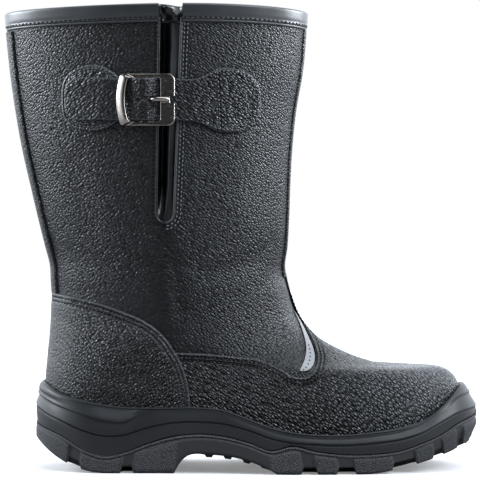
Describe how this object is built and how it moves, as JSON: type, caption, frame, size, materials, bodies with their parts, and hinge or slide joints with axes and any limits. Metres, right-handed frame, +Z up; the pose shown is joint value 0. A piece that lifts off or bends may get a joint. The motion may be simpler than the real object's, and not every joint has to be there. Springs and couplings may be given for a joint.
{
  "type": "work boot",
  "caption": "Right pull-on leather work boot with mid-calf shaft, side slit and gusset closed by a buckled strap, cup midsole and lugged outsole.",
  "frame": {"origin": "on the floor, under the middle of the boot's box", "axes": "+X to the toe, +Y to the inner side of the foot, +Z up the shaft"},
  "size_m": [0.3203, 0.1119, 0.308],
  "materials": {
    "grained_leather": "pebble grained, semi matt",
    "smooth_trim": "smooth, satin",
    "midsole_compound": "smooth moulded, satin",
    "tread_compound": "fine stippled, matt",
    "insole_felt": "felt, matt",
    "reflective_trim": "grey reflective film with fine dots",
    "buckle_metal": "polished nickel"
  },
  "bodies": {
    "root": {"outsole": "tread_compound", "midsole": "midsole_compound", "insole": "insole_felt", "upper": "grained_leather", "vamp": "grained_leather", "heel_counter": "grained_leather", "backstay": "grained_leather", "front_seam": "grained_leather", "reflector_lateral": "reflective_trim", "reflector_medial": "reflective_trim", "collar_binding": "smooth_trim", "gusset": "smooth_trim", "buckle_tab": "grained_leather", "strap": "grained_leather", "buckle": "buckle_metal", "prong": "buckle_metal"}
  },
  "joints": []
}
